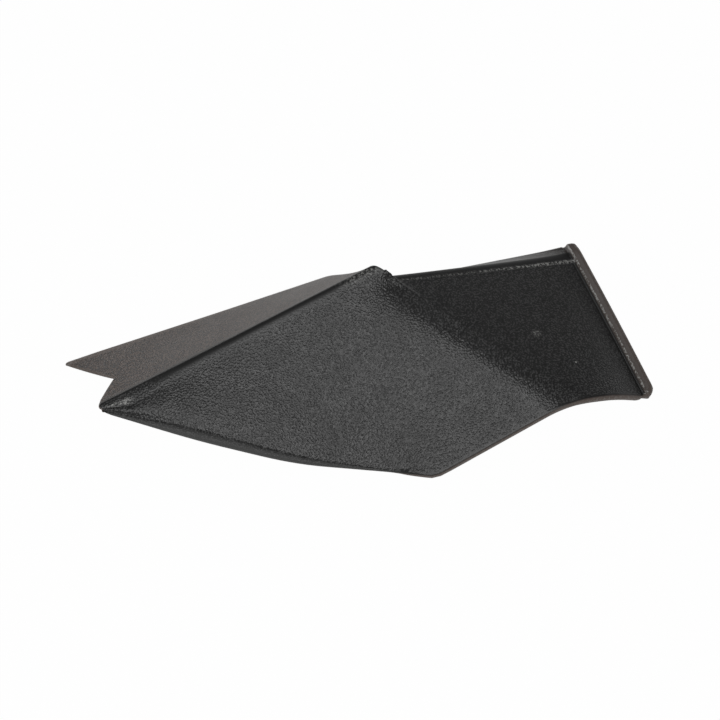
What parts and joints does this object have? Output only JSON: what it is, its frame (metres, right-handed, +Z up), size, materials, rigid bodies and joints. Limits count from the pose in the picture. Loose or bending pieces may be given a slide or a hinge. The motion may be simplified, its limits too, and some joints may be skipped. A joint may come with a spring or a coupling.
{
  "type": "fairing wind deflector",
  "caption": "Long black moulded shell with a ridge, a soft diagonal fold across its face, a notched back flange and a raised end rim, hollow below with screw bosses.",
  "frame": {"origin": "centre of the bounding box's base, on the plane that the back edge and the front corner rest on", "axes": "+X along the ridge from the notched nose to the rimmed end, +Y towards the back flange, +Z up out of the face, the draw direction"},
  "size_m": [0.1798, 0.0898, 0.0379],
  "materials": {
    "textured_plastic": "black, fine moulded grain, matt, smooth along the ridge, the rolled edge and the rim band"
  },
  "bodies": {
    "root": {"deflector_shell": "textured_plastic"}
  },
  "joints": []
}
